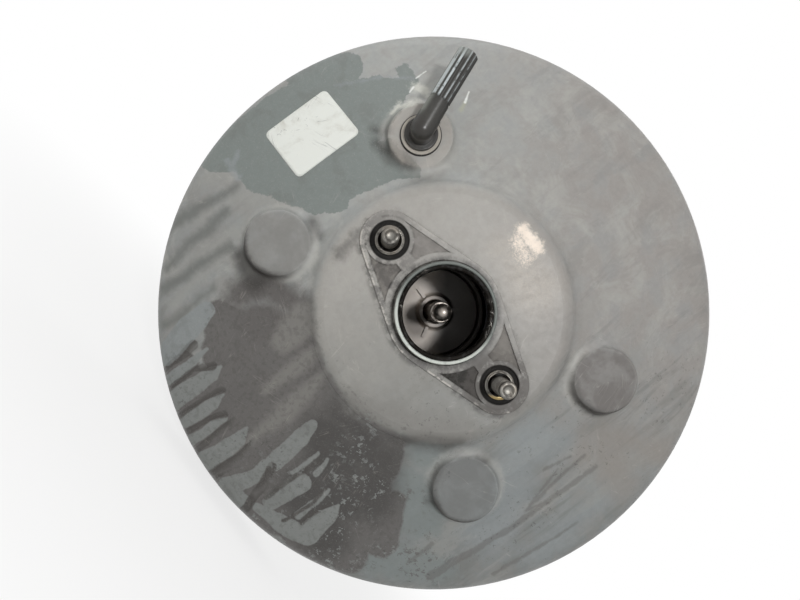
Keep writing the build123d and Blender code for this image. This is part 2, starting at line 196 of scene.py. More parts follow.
def shaken(vector, scale, reach, detail=3.0):
    # the vector moved by noise, at most about a fifth of reach each way
    return vectorMath("ADD", vector, scaled(push(vector, scale, detail), (reach, reach, reach)))


def startGroup(name, ins, outs):
    global tree
    tree = bpy.data.node_groups.new(name, "ShaderNodeTree")
    for label, kind, default in ins:
        socket = tree.interface.new_socket(label, in_out="INPUT", socket_type=kind)
        if default is not None:
            socket.default_value = default
    for label, kind in outs:
        tree.interface.new_socket(label, in_out="OUTPUT", socket_type=kind)
    return tree, tree.nodes.new("NodeGroupInput").outputs, tree.nodes.new("NodeGroupOutput").inputs


def useGroup(group, inputs):
    made = put("ShaderNodeGroup", node_tree=group)
    for key, value in inputs.items():
        join(value, made.inputs[key])
    return made.outputs


def startMaterial(name):
    global tree
    material = bpy.data.materials.new(name)
    material.use_nodes = True
    tree = material.node_tree
    tree.nodes.clear()
    shader = put("ShaderNodeBsdfPrincipled")
    put("ShaderNodeOutputMaterial", {"Surface": shader.outputs["BSDF"]})
    return material, shader.inputs


def bump(shader, height, strength, distance):
    made = put("ShaderNodeBump", {"Height": height, "Strength": strength, "Distance": distance})
    join(made.outputs["Normal"], shader["Normal"])


# --- shared effects

def dustGroup():
    group, ins, outs = startGroup("dust film", (
        ("Color", colourSocket, None), ("Roughness", floatSocket, 0.5), ("Dust Color", colourSocket, None),
        ("Amount", floatSocket, 0.5), ("Patch Scale", floatSocket, 30.0),
    ), (("Color", colourSocket), ("Roughness", floatSocket)))
    where = place()
    patches = cloud(where, ins["Patch Scale"], 5.0, 0.6, 0.4)
    fine = cloud(where, 900.0, 3.0, 0.7)
    normal = put("ShaderNodeNewGeometry").outputs["Normal"]
    upward = split(normal)["Z"]
    settled = plus(remap(upward, -0.4, 1.0, 0.0, 0.35), remap(patches, 0.35, 0.7))
    spread = times(settled, remap(fine, 0.2, 0.8, 0.55, 1.15))
    mask = calc("MULTIPLY", spread, ins["Amount"], clamp=True)
    join(blend(mask, ins["Color"], ins["Dust Color"]), outs["Color"])
    join(blendValue(mask, ins["Roughness"], 0.85), outs["Roughness"])
    return group


def speckGroup():
    group, ins, outs = startGroup("grime specks", (
        ("Color", colourSocket, None), ("Speck Color", colourSocket, None), ("Scale", floatSocket, 300.0),
        ("Size", floatSocket, 0.25), ("Amount", floatSocket, 1.0),
    ), (("Color", colourSocket), ("Mask", floatSocket)))
    where = place()
    moved = shaken(where, 620.0, 0.006)
    cells = put("ShaderNodeTexVoronoi", {"Vector": moved, "Scale": ins["Scale"], "Randomness": 1.0})
    chance = put("ShaderNodeSeparateColor", {0: cells.outputs["Color"]}).outputs[0]
    radius = times(calc("POWER", chance, 2.5), ins["Size"])
    spot = remap(minus(cells.outputs["Distance"], radius), 0.06, -0.06)
    clumps = remap(cloud(where, 34.0, 5.0, 0.65), 0.44, 0.6)
    mask = calc("MULTIPLY", times(spot, clumps), ins["Amount"], clamp=True)
    join(blend(mask, ins["Color"], ins["Speck Color"]), outs["Color"])
    join(mask, outs["Mask"])
    return group


def scratchGroup():
    group, ins, outs = startGroup("fine scratches", (
        ("Scale", floatSocket, 60.0), ("Amount", floatSocket, 1.0),
    ), (("Mask", floatSocket),))
    where = shaken(place(), 30.0, 0.004)
    total = None
    for angle, seed in ((0.4, 0.31), (1.2, 0.57), (1.9, 0.83), (2.7, 1.19)):
        run = turned(where, angle)
        wave = cloud(scaled(run, (0.5, 0.3, 7.0)), ins["Scale"], 2.0, 0.5)
        line = remap(absolute(minus(wave, 0.5)), 0.010, 0.003)
        moved = vectorMath("ADD", scaled(run, (0.6, 1.0, 1.0)), (seed, seed, seed))
        line = times(line, remap(cloud(moved, 90.0, 2.0), 0.60, 0.68))
        total = line if total is None else most(total, line)
    join(times(total, ins["Amount"]), outs["Mask"])
    return group


dustFilm, grimeSpecks, fineScratches = dustGroup(), speckGroup(), scratchGroup()
print("shared effects made")


# --- painted pressings

shellTones = {
    "upperGreyAndLight": (162, 163, 160), "warmGrey": (151, 146, 142), "leftGreyAndShade": (137, 138, 136),
    "lowerGreyAndShade": (124, 127, 126), "plateauGrey": (165, 161, 155), "plateauShade": (135, 134, 129),
    "cleanTeal": (120, 127, 124), "paleBand": (150, 150, 146), "darkBand": (108, 110, 107), "film": (93, 90, 88),
    "filmDeep": (62, 60, 58), "filmBlackAndShade": (48, 45, 42), "drip": (68, 65, 62), "earGrime": (80, 76, 72),
    "lane": (128, 131, 129), "softLane": (124, 122, 118), "teal": (121, 128, 127), "bluish": (142, 148, 150),
    "brown": (140, 134, 128), "pinkDust": (182, 174, 164), "paleDustAndHighlight": (176, 175, 170), "bareMetal": (214, 208, 200),
    "wornPinkAndSheen": (246, 232, 217), "scuff": (206, 206, 197), "scratchWhite": (232, 234, 230),
    "yellowed": (168, 168, 150), "counterboreShadow": (15, 13, 11), "lipGrey": (104, 109, 105), "lipHighlight": (208, 213, 206),
    "windowPale": (146, 142, 138), "windowMiddle": (134, 130, 125), "windowDark": (24, 22, 20),
}
shellPaint = {label: tone(*shade) for label, shade in shellTones.items()}
roughnesses = {"paint": 0.46, "film": 0.27, "pocket": 0.9}

# stains on the front as chains of tapered strokes: x, z and radius at each joint, in millimetres
stains = {
    "clean": (
        (-127, -40, 9, -119, -20, 16, -115, 0, 19, -101, 17, 21), (-102, 18, 20.8, -99, 37, 12.6),
        (-99, 38, 10.6, -98, 51, 4.8), (-98, -12, 16, -84, 5, 17, -73, 19, 10), (-75, 20, 9, -59, 29, 2.7),
        (-107, -24, 14, -82, -13, 11), (-82, -13, 9, -71, -9, 5), (-127, 21, 14.6, -121, 38, 7),
        (-104, 57, 3.2, -98, 56, 3.6),
    ),
    "darkBands": (
        (-107, -41, 1.8, -113, -83, 4), (-100, -52, 3, -99, -67, 3), (-99, -67, 2.6, -97, -93, 1.8),
        (-85, -61, 2.4, -89, -99, 3), (-74, -79, 1, -75, -110, 1.6),
    ),
    "paleBands": (
        (-102, -40, 2.6, -106, -66, 2), (-87, -48, 3.2, -92, -91, 2), (-95, -37, 4.6, -82, -24, 4.6),
        (-118, -36, 3, -119, -50, 4), (-84, -70, 2.4, -80, -101, 2.4),
    ),
    "film": (
        (-60, -84, 9, -48, -92, 12), (-52, -82, 10, -24, -68, 15), (-38, -89, 15, 4, -73, 20),
        (-8, -96, 24, 27, -73, 23), (-34, -114, 15, 8, -116, 24), (11, -67, 8, 33, -58, 7),
        (17, -119, 23, 39, -89, 23), (45, -105, 22, 62, -108, 14), (54, -96, 8.9, 72, -90, 7, 57, -71, 4.9),
        (-56, -114, 8.5, -21, -124, 12), (-59, -118, 3, -50, -121, 6),
    ),
    "filmTop": ((-64, -71, 6.2, -58, -57, 7.1, -43, -50, 7.4), (-50, -72, 9.5, -33, -57, 10.2)),
    "blots": (
        (-78, -59, 4, -66, -60, 6.5), (-70, -23, 2, -63, -25, 2), (66, -59, 0.6, 69, -55, 1.4),
        (65, -29, 0.8, 67, -25, 1.2), (-82, 24, 2.4, -72, 26, 3.4), (-72, 26, 3.2, -63, 29, 2.2),
        (-88, 27, 1.5, -84, 30, 2),
    ),
    "plateauDirt": ((8, -55, 4.9, 34, -40, 5.4, 49, -24, 3.6),),
    "earDirt": ((46, -7, 5.4, 50, 2, 5), (33, -12, 2.6, 44, -12, 3.2), (-52, -9, 1.6, -50, -22, 2.4)),
    # pale dust beside the port, also painted light over the elbow's cast shadow
    "scuffs": ((-93, 56, 2.4, -89, 58, 2.4), (-88, 44, 2, -87, 52, 1.8), (-89, 38, 0.9, -91, 44, 0.6)),
    "marks": ((-97, 59, 0.35, -97, 65, 0.2), (-73, 70, 0.6, -76, 75, 0.35), (-93, 52, 0.3, -94, 55, 0.5)),
    "arc": (
        (-118, 26, 0.5, -108, 45, 0.5, -98, 58, 0.5), (-120, -37, 1.2, -110, -38, 1.8),
        (-120, -30, 0.8, -115, -38, 1.6),
    ),
    "yellow": ((-71, 66, 0.9, -73, 70, 0.8),),
    "softLanes": (
        (-12, -57, 0.9, -9, -70, 3.6, -7, -88, 4.3), (-7, -88, 3.7, -6, -118, 1.3),
        (-21, -53, 2.5, -21, -69, 4, -21, -88, 2.2), (-36, -52, 8, -34, -67, 5.4),
    ),
    "lanes": (
        (-68, -87, 3.7, -67, -101, 6.1, -63, -118, 4.9), (-54, -99, 0.7, -53, -110, 2.3, -53, -124, 2.6),
        (-43, -98, 0.7, -43, -104, 3.4, -44, -128, 5.2), (-32, -106, 1.1, -31, -113, 3.2, -33, -131, 3.4),
        (-22, -112, 1.1, -23, -119, 2.3, -23, -133, 2.6), (-12, -106, 0.7, -10, -113, 3.4, -11, -135, 5),
        (5, -80, 2.6, 6, -87, 4.2, 9, -106, 4.2), (17, -86, 0.7, 18, -102, 1.2), (22, -84, 0.7, 24, -93, 1.7),
        (24, -102, 5.1, 23, -120, 4), (6, -110, 1.5, 9, -117, 3.4, 5, -133, 5, 15, -131, 4),
        (34, -93, 0.7, 36, -102, 1.6, 36, -113, 2.1), (43, -94, 0.9, 45, -101, 4, 46, -115, 5.8),
        (21, -127, 1.9, 36, -122, 4.8, 47, -116, 4.8),
    ),
    "drips": (
        (-59, -103, 2.3, -58, -123, 1.2), (-46, -101, 2.1, -50, -110, 1.2, -50, -128, 1.4),
        (-34, -105, 2.1, -36, -115, 1.1, -36, -133, 1.4), (-24, -111, 1.7, -27, -119, 1.2, -28, -135, 1.4),
        (-18, -109, 2.4, -19, -122, 1.4, -17, -137, 1.8), (-4, -99, 3.1, -3, -110, 3, -4, -138, 2.6),
        (10, -108, 2.2, 14, -117, 2.3, 20, -136, 2.2), (20, -87, 0.9, 20, -106, 1.3, 20, -121, 1.1),
        (33, -97, 1.1, 36, -103, 1, 34, -121, 0.8), (40, -96, 0.9, 40, -114, 1.1),
    ),
    "tongue": ((34, -52, 2.5, 39, -41, 2.4, 51, -29, 1.3),),
    "teal": ((34, -50, 5, 50, -44, 8), (56, -60, 9, 72, -68, 12), (77, -95, 9, 98, -76, 9)),
    "streaks": (
        (92, 7, 0.5, 89, -6, 0.9), (93, -1, 0.6, 100, -25, 1), (103, -16, 1, 100, -25, 0.8),
        (105, 15, 1.1, 102, -40, 1.6, 99, -81, 2.2), (122, -8, 0.6, 118, -56, 1.2), (96, 13, 0.8, 99, -21, 1),
        (87, -85, 0.8, 86, -70, 1),
    ),
    "bluish": (
        (30, -25, 5, 48, -13, 6), (74, -4, 12, 85, 14, 4), (79, -17, 11, 98, -45, 12), (121, 17, 3, 121, -36, 4),
    ),
    "brown": ((86, 19, 4, 97, 12, 5), (97, 25, 9, 122, 21, 9), (98, 31, 6, 124, 47, 7)),
    "haze": ((-3, 40, 6, 16, 39, 11), (-5, 47, 4, -8, 38, 5)),
    # pale patch on the plateau's shoulder, partly wear and partly a painted highlight
    "worn": ((-9, 51, 3.4, 2, 51, 4.0), (-5, 45, 4.2, 3, 43, 4.6)),
    "deepFilm": (
        (23, -75, 6.7, 39, -63, 9.5, 51, -80, 10.7), (31, -52, 4.5, 48, -33, 3.6), (6, -68, 5, 30, -62, 7),
        (14, -78, 12, 42, -88, 14), (30, -104, 14, 52, -108, 12),
    ),
}


def strokeGroup():
    # distance in millimetres to the outline round two circles, whose radii are the Y of Start and End
    group, ins, outs = startGroup("tapered stroke", (
        ("Where", vectorSocket, None), ("Start", vectorSocket, None), ("End", vectorSocket, None),
    ), (("Distance", floatSocket),))
    flat = [scaled(ins[key], (1.0, 0.0, 1.0)) for key in ("Where", "Start", "End")]
    radii = [split(ins[key])["Y"] for key in ("Start", "End")]
    run = vectorMath("SUBTRACT", flat[2], flat[1])
    length = lengthOf(run)
    offset = vectorMath("SUBTRACT", flat[0], flat[1])
    advance = dot(offset, vectorMath("NORMALIZE", run))
    square = dot(offset, offset)
    aside = root(most(minus(square, times(advance, advance)), 0.0))
    slope = over(minus(radii[0], radii[1]), length)
    cosine = root(minus(1.0, times(slope, slope)))
    tilt = times(aside, over(slope, cosine))
    centre = least(most(minus(advance, tilt), 0.0), length)
    gap = minus(advance, centre)
    reach = root(plus(times(aside, aside), times(gap, gap)))
    radius = minus(radii[0], times(slope, centre))
    join(minus(reach, radius), outs["Distance"])
    return group


taperedStroke = strokeGroup()


def strokesDistance(where, chains):
    nearest = None
    for chain in chains:
        for at in range(0, len(chain) - 3, 3):
            fromX, fromZ, fromRadius, toX, toZ, toRadius = chain[at:at + 6]
            distance = useGroup(taperedStroke, {
                "Where": where, "Start": (fromX, fromRadius, fromZ), "End": (toX, toRadius, toZ)})["Distance"]
            nearest = distance if nearest is None else least(nearest, distance)
    return nearest


def stainSet(where):
    # every stain's mask, 0 to 1; reach moves its outline, ragged tears it and soft fades it, in millimetres
    millimetres = scaled(where, (1 / mm, 1 / mm, 1 / mm))
    torn, flowing = push(where, 60.0, 5.0), push(where, 55.0, 1.5)
    edge = minus(cloud(where, 300.0, 4.0, 0.65), 0.5)
    look = {
        "clean": (torn, 8.0, 4.0, 0.35), "darkBands": (flowing, 7.0, 4.0, 3.0), "paleBands": (flowing, 7.0, 4.0, 2.6),
        "film": (flowing, 6.0, 3.0, 0.8), "blots": (torn, 4.0, 3.0, 3.5), "softLanes": (flowing, 4.0, 2.0, 2.6),
        "lanes": (flowing, 3.0, 1.6, 0.35), "drips": (flowing, 3.0, 1.6, 0.45), "teal": (torn, 14.0, 6.0, 4.5),
        "streaks": (flowing, 3.0, 3.0, 0.7), "bluish": (torn, 12.0, 5.0, 8.0), "brown": (torn, 10.0, 5.0, 7.0),
        "haze": (torn, 8.0, 9.0, 9.0), "worn": (torn, 3.0, 7.0, 3.4), "deepFilm": (torn, 9.0, 4.0, 7.0),
        "filmTop": (flowing, 8.0, 6.0, 5.0), "tongue": (flowing, 3.0, 4.0, 2.4), "earDirt": (torn, 3.0, 7.0, 3.0),
        "scuffs": (torn, 4.0, 8.0, 1.8), "marks": (torn, 0.8, 1.0, 0.35), "yellow": (torn, 1.0, 1.0, 0.9),
        "arc": (torn, 5.0, 5.0, 1.2), "plateauDirt": (torn, 10.0, 8.0, 6.0),
    }
    masks, distances = {}, {}
    for name, (wave, reach, ragged, soft) in look.items():
        moved = vectorMath("ADD", millimetres, scaled(wave, (reach, reach, reach)))
        distances[name] = calc("MULTIPLY_ADD", edge, ragged, strokesDistance(moved, stains[name]))
        masks[name] = remap(distances[name], soft, -soft)
    # drips only show dark beside the clean lanes
    masks["drips"] = times(masks["drips"], remap(distances["lanes"], 5.0, 0.5))
    return masks


def seatMarks(where, x, z, radius, colour):
    # flange seat: worn rim, dirt along its foot, the pockets with a dark line round them, and painted shadow in the
    # counterbore round each stud
    look, hub, ear = shellPaint, sizes["seatHub"], sizes["seatEar"]
    folded = flatPoint(absolute(times(x, 1 / mm)), times(z, 1 / mm))
    outline = useGroup(taperedStroke, {
        "Where": folded, "Start": (0.0, hub, 0.0), "End": (sizes["studX"], ear, 0.0)})["Distance"]
    stud = vectorMath("DISTANCE", folded, (sizes["studX"], 0.0, 0.0), "Value")
    pocket = most(plus(outline, sizes["seatRim"]), minus(hub + sizes["hubGap"], times(radius, 1 / mm)))
    web = minus(sizes["seatWeb"] / 2, absolute(times(z, 1 / mm)))
    pocket = most(pocket, most(web, minus(ear - sizes["seatRim"], stud)))
    patchy = cloud(where, 190.0, 5.0, 0.7)
    inside = remap(pocket, 0.3, -0.3)
    left, above = remap(x, 0.002, -0.002), remap(z, -0.002, 0.002)
    right = blend(above, look["windowDark"], look["windowMiddle"])
    floor = blend(left, right, blend(above, look["windowMiddle"], look["windowPale"]))
    colour = blend(times(inside, 0.9), colour, floor)
    below = remap(z, 0.012, -0.010, 0.25, 1.0)
    broken = times(remap(patchy, 0.44, 0.60, 0.1, 1.0), below)
    colour = blend(times(remap(absolute(pocket), 0.9, 0.1), broken), colour, look["filmBlackAndShade"])
    foot = times(remap(outline, -0.6, 0.2), remap(outline, 3.2, 0.2), broken, 0.6)
    colour = blend(foot, colour, look["filmBlackAndShade"])
    grimy = times(remap(outline, 0.6, -0.6), remap(patchy, 0.38, 0.60, 0.0, 0.75), below)
    colour = blend(grimy, colour, look["film"])
    rim = times(remap(absolute(plus(outline, 0.6)), 0.6, 0.2), remap(patchy, 0.52, 0.42, 0.0, 0.55), below)
    colour = blend(rim, colour, look["bareMetal"])
    grimyEar = times(remap(stud, 19.0, 13.0), remap(patchy, 0.30, 0.50), remap(outline, 0.8, -0.6),
                     remap(x, -0.01, 0.01, 0.22, 0.85), remap(inside, 0.0, 1.0, 1.0, 0.4))
    colour = blend(grimyEar, colour, look["earGrime"])
    # painted shadow: near-black in the counterbore round each stud
    counterboreShade = remap(stud, 9.5, 8.8, 0.0, 0.97)
    colour = blend(counterboreShade, colour, look["counterboreShadow"])
    hubFoot = times(remap(radius, 0.0268, 0.0236), remap(patchy, 0.35, 0.6, 0.3, 0.8))
    return blend(hubFoot, colour, look["filmBlackAndShade"]), most(inside, counterboreShade)


# sign of x and z, tint and cover of the top, then the painted-shade crescents and the painted-highlight crescents, as
# degrees from the camera's right, width and strength
padTops = (
    ((1, 1), tone(92, 88, 85), 0.94, ((-100, 2.2, 0.95), (-140, 4.0, 0.75)), ((178, 4.0, 0.55), (-40, 4.0, 0.25))),
    ((-1, -1), tone(126, 125, 122), 0.9, ((-150, 2.4, 0.9), (-120, 3.2, 0.6)), ((-30, 2.6, 0.6), (130, 3.5, 0.3))),
    ((1, -1), tone(104, 106, 105), 0.92, ((-115, 2.4, 0.95), (175, 3.2, 0.6)), ((5, 3.6, 0.5), (120, 4.0, 0.35))),
    ((-1, 1), tone(176, 167, 158), 0.45, ((-150, 2.0, 0.2),), ((135, 3.5, 0.6), (-60, 4.0, 0.3))),
)


def crescentMask(offset, reach, ragged, degrees, width):
    # used for both the painted shade and the painted highlight crescents: strongest on the pad's edge, in one
    # direction seen from the front
    cosine, sine = math.cos(math.radians(degrees)), math.sin(math.radians(degrees))
    headX, headZ = (cosine * aside + sine * rise for aside, rise in zip(asideWay, riseWay))
    toward = over(dot(offset, (headX, 0.0, headZ)), reach)
    return times(remap(absolute(minus(ragged, sizes["padEdge"])), width, 0.0), remap(toward, 0.35, 0.95))


def padMarks(where, middle, fine, colour):
    # each pad has its own tint on top, a painted highlight up its wall and painted shade along its lower edge
    flat = scaled(where, flattened)
    patches = remap(middle, 0.62, 0.40, 0.7, 1.0)
    for (signX, signZ), tint, cover, shadeCrescents, highlightCrescents in padTops:
        offset = vectorMath("SUBTRACT", flat, (signX * sizes["padCentre"][0], 0.0, signZ * sizes["padCentre"][1]))
        reach = lengthOf(offset)
        ragged = calc("MULTIPLY_ADD", middle, 3.0, minus(reach, 1.5))
        ragged = calc("MULTIPLY_ADD", fine, 1.6, minus(ragged, 0.8))
        colour = blend(times(remap(ragged, 16.6, 13.4), patches, cover), colour, tint)
        # painted highlight crescents first, then painted shade crescents
        for shades, label, out in ((highlightCrescents, "paleDustAndHighlight", 2.0), (shadeCrescents, "filmBlackAndShade", 0.0)):
            for degrees, width, strength in shades:
                mask = times(crescentMask(offset, reach, minus(ragged, out), degrees, width), strength)
                colour = blend(mask, colour, shellPaint[label])
    return colour


def stained(colour, masks, layers):
    for label, tint, *shares in layers:
        colour = blend(times(masks[label], *shares), colour, shellPaint[tint])
    return colour


def shellMaterial(name, frontMarks):
    look = shellPaint
    material, shader = startMaterial(name)
    where = place()
    axes = split(where)
    x, z = axes["X"], axes["Z"]
    radius = root(plus(times(x, x), times(z, z)))
    mottle = cloud(where, 26.0, 6.0, 0.62, 0.6)
    middle = cloud(where, 85.0, 5.0, 0.6, 0.3)
    fine = cloud(where, 420.0, 4.0, 0.6)

    # paint fades from the dusty upper side to the greyer lower side and is darker on the left; the lighter top and
    # the darker left and bottom are partly the paint's own tone and partly painted light and shade
    rise, aside = along(x, z, riseWay), along(x, z, asideWay)
    shift = times(minus(mottle, 0.5), 0.06)
    rise, aside = plus(rise, shift), minus(aside, shift)
    colour = blend(remap(rise, -0.125, 0.075), look["lowerGreyAndShade"], look["upperGreyAndLight"])
    colour = blend(times(remap(aside, -0.01, 0.09), remap(rise, -0.11, 0.0), 0.8), colour, look["warmGrey"])
    colour = blend(remap(aside, -0.03, -0.13, 0.0, 0.8), colour, look["leftGreyAndShade"])
    colour = blend(remap(middle, 0.45, 0.66, 0.0, 0.24), colour, look["bluish"])
    colour = blend(remap(middle, 0.54, 0.36, 0.0, 0.24), colour, look["brown"])
    dusty = times(remap(cloud(where, 48.0, 6.0, 0.66, 0.8), 0.47, 0.66), remap(rise, -0.08, 0.02, 0.1, 0.42))
    colour = blend(dusty, colour, look["paleDustAndHighlight"])
    streaky = cloud(scaled(where, (1.0, 1.0, 0.13)), 90.0, 4.0, 0.62, 0.4)
    lowered = remap(rise, 0.05, -0.06, 0.15, 0.5)
    colour = blend(times(remap(streaky, 0.50, 0.62), lowered), colour, look["darkBand"])
    colour = blend(times(remap(streaky, 0.48, 0.38), lowered), colour, look["paleBand"])
    gloss, matt = None, None

    if frontMarks:
        masks = stainSet(where)
        plateau = remap(radius, 0.0615, 0.056)
        pale = remap(rise, -0.055, 0.03)
        top = blend(pale, look["plateauShade"], look["plateauGrey"])
        top = blend(remap(aside, 0.01, 0.05, 0.0, 0.6), top, look["warmGrey"])
        keep = minus(1.0, times(plateau, remap(radius, 0.0605, 0.057, 0.3, 1.0)))
        colour = stained(colour, masks, (
            ("bluish", "bluish", 0.62), ("brown", "brown", 0.6), ("teal", "teal", 0.8),
            ("paleBands", "paleBand", 0.75), ("darkBands", "darkBand", 0.9), ("clean", "cleanTeal", 0.95),
            ("arc", "bluish", 0.55), ("filmTop", "film", 1.0, keep)))
        colour = blend(times(plateau, 0.75), colour, top)
        colour = stained(colour, masks, (
            ("film", "film", 0.92, keep), ("deepFilm", "filmDeep", 0.85, keep),
            ("softLanes", "softLane", 0.85, keep), ("lanes", "lane", 0.97, keep), ("drips", "drip", 0.95),
            ("streaks", "film", 0.5), ("tongue", "drip", 0.75), ("plateauDirt", "softLane", 0.85),
            ("blots", "filmBlackAndShade", 0.8), ("earDirt", "drip", 0.6)))
        gloss = times(masks["film"], keep, minus(1.0, masks["lanes"]))
        powder = cloud(where, 1300.0, 4.0, 0.8)
        coolLane = times(masks["lanes"], remap(x, -0.045, -0.064, 0.0, 0.5))
        colour = blend(coolLane, colour, look["bluish"])
        oily = most(masks["film"], masks["filmTop"])
        bare = most(masks["lanes"], masks["clean"])
        colour = blend(times(bare, remap(powder, 0.5, 0.75, 0.0, 0.3)), colour, look["paleDustAndHighlight"])
        colour = blend(times(bare, remap(middle, 0.5, 0.36, 0.0, 0.35)), colour, look["darkBand"])
        pale = times(oily, remap(powder, 0.52, 0.74, 0.0, 0.5))
        dark = times(oily, remap(fine, 0.52, 0.36, 0.0, 0.3))
        colour = blend(dark, blend(pale, colour, look["softLane"]), look["drip"])
        colour = blend(times(masks["haze"], remap(powder, 0.3, 0.7, 0.25, 0.75)), colour, look["pinkDust"])
        # the pale patch on the plateau's shoulder is partly wear and partly a painted highlight on the rounded
        # shoulder
        fading = times(masks["worn"], remap(z, 0.038, 0.054, 0.3, 1.0))
        dusted = remap(calc("MULTIPLY_ADD", powder, 1.4, times(fading, 0.9)), 0.9, 1.5)
        colour = blend(times(masks["worn"], dusted), colour, look["wornPinkAndSheen"])
        smudges = times(plateau, remap(middle, 0.50, 0.66, 0.0, 0.22), remap(rise, 0.02, -0.04))
        colour = blend(smudges, colour, look["softLane"])

        colour = padMarks(where, middle, fine, colour)
        # the scuffs beside the port are pale dust and also painted light over the elbow's cast shadow
        colour = stained(colour, masks, (
            ("scuffs", "scuff", 0.8), ("yellow", "yellowed", 0.8), ("marks", "scratchWhite", 0.9)))
        seat, matt = seatMarks(where, x, z, radius, colour)
        # the bore's lip: grey paint with a painted highlight on its lower-left side
        lower = calc("MULTIPLY_ADD", rise, -1.0, times(aside, -0.5))
        bright = times(remap(lower, -0.004, 0.016), remap(fine, 0.25, 0.5, 0.6, 1.0))
        lip = blend(bright, look["lipGrey"], look["lipHighlight"])
        onSeat = remap(axes["Y"], sizes["plateauY"] * mm + 0.004, sizes["plateauY"] * mm + 0.002)
        matt = times(matt, onSeat)
        colour = blend(onSeat, colour, seat)
        colour = blend(remap(axes["Y"], -0.1012, -0.1028), colour, lip)
        for tint, scale, size, shares in (("film", 420.0, 0.62, (masks["teal"], 0.9)),
                                          ("lane", 460.0, 0.66, (masks["film"], remap(x, -0.02, 0.04)))):
            colour = useGroup(grimeSpecks, {"Color": colour, "Speck Color": look[tint], "Scale": scale, "Size": size,
                                            "Amount": times(*shares)})["Color"]

    specked = useGroup(grimeSpecks, {
        "Color": colour, "Speck Color": look["filmBlackAndShade"], "Scale": 560.0, "Size": 0.42,
        "Amount": remap(rise, 0.02, -0.08, 0.05, 0.5)})
    scratches = useGroup(fineScratches, {"Scale": 42.0, "Amount": 0.11})["Mask"]
    colour = blend(scratches, specked["Color"], look["bareMetal"])
    join(blend(remap(fine, 0.3, 0.7, 0.0, 0.09), colour, look["film"]), shader["Base Color"])

    rough = plus(roughnesses["paint"], remap(fine, 0.2, 0.8, -0.05, 0.07))
    if gloss is not None:
        rough = blendValue(gloss, rough, roughnesses["film"])
        rough = blendValue(matt, rough, roughnesses["pocket"])
    join(rough, shader["Roughness"])
    join(0.4, shader["Specular IOR Level"])
    bump(shader, plus(times(fine, 0.5), times(cloud(where, 110.0, 3.0), 0.5)), 0.22, 0.0003)
    return material


# --- metals, each with its colour, its tint and share, its dirt and share, and its roughness

metals = {
    "zinc": ((176, 170, 156), (186, 160, 96), 0.45, (70, 62, 52), 0.5, 0.38),
    "plate": ((150, 146, 139), (128, 120, 108), 0.5, (62, 56, 50), 0.45, 0.42),
    "hubPlate": ((150, 146, 139), (128, 120, 108), 0.5, (62, 56, 50), 0.45, 0.42),
    "polished": ((156, 150, 143), (140, 130, 120), 0.45, (64, 56, 50), 0.4, 0.34),
    "spring": ((84, 84, 86), (60, 58, 58), 0.5, (40, 34, 30), 0.5, 0.35),
    "stud": ((112, 110, 104), (104, 97, 84), 0.6, (44, 39, 34), 0.9, 0.42),
    "seatedStud": ((118, 116, 111), (108, 100, 90), 0.6, (44, 39, 34), 0.9, 0.38),
    "collar": ((30, 28, 26), (22, 20, 18), 0.7, (14, 12, 11), 0.6, 0.5),
}


def paintedHubShadows(where, colour):
    # painted shadow: the bore's rim shades the half of the hub's face towards the camera's right, and a brown patch
    # to the lower left of the rod stands for the rod's shadow
    axes = split(shaken(where, 60.0, 0.008))
    aside = along(axes["X"], axes["Z"], asideWay)
    colour = blend(remap(aside, -0.003, 0.007, 0.0, 0.86), colour, tone(22, 17, 14))
    # painted shadow of the output rod
    stain = vectorMath("DISTANCE", scaled(where, (1.0, 0.0, 1.0)), (0.0, 0.0, -0.0125), "Value")
    return blend(remap(stain, 0.0095, 0.003, 0.0, 0.8), colour, tone(92, 80, 68))


studRings = {
    "gap": (4.2, 5.2),
    "collarY": -97.3,
    "black": tone(16, 14, 12),
    "yellow": tone(176, 152, 96),
}


def studGapShade(where, colour):
    # painted shade: black in the gap between a stud and its collar and round the collar's outer edge, with some
    # yellow plating left low on the collar
    look = studRings
    x, y, z = tuple(split(scaled(where, (1 / mm, 1 / mm, 1 / mm))))[:3]
    besideX = minus(absolute(x), sizes["studX"])
    apart = lengthOf(flatPoint(besideX, z))
    low, high = look["gap"]
    collar = remap(y, look["collarY"] - 1.4, look["collarY"] - 0.9)
    dark = times(remap(apart, low - 0.3, low), remap(apart, high + 0.4, high), collar)
    outer = times(remap(apart, 6.5, 6.9, 0.0, 0.9), collar)
    colour = blend(most(dark, outer), colour, look["black"])
    lowSide = along(besideX, z, (-riseWay[0], -riseWay[1]))
    plated = times(remap(lowSide, 3.6, 5.6, 0.0, 0.7), remap(apart, 5.1, 5.6), collar, remap(x, -1.0, 1.0))
    return blend(plated, colour, look["yellow"])


def metalMaterial(name):
    plain, tint, tintShare, dirt, dirtShare, rough = metals[name]
    material, shader = startMaterial(name + " metal")
    where = place()
    drift = cloud(where, 120.0, 4.0, 0.6, 0.5)
    grime = cloud(where, 340.0, 5.0, 0.65, 0.3)
    colour = blend(remap(drift, 0.4, 0.65, 0.0, tintShare), tone(*plain), tone(*tint))
    dirty = remap(grime, 0.50, 0.68, 0.0, dirtShare)
    colour = blend(dirty, colour, tone(*dirt))
    scratches = useGroup(fineScratches, {"Scale": 160.0, "Amount": 0.5})["Mask"]
    colour = blend(scratches, colour, tone(232, 228, 220))
    if name == "hubPlate":
        colour = paintedHubShadows(where, colour)
    if name == "seatedStud":
        colour = studGapShade(where, colour)
    join(colour, shader["Base Color"])
    join(remap(dirty, 0.0, 0.6, 1.0, 0.35), shader["Metallic"])
    join(remap(grime, 0.3, 0.7, rough - 0.06, rough + 0.22), shader["Roughness"])
    bump(shader, grime, 0.2, 0.00015)
    return material


# --- moulded materials, each with its colour, its dust and share, roughness, and the grain's scale and depth

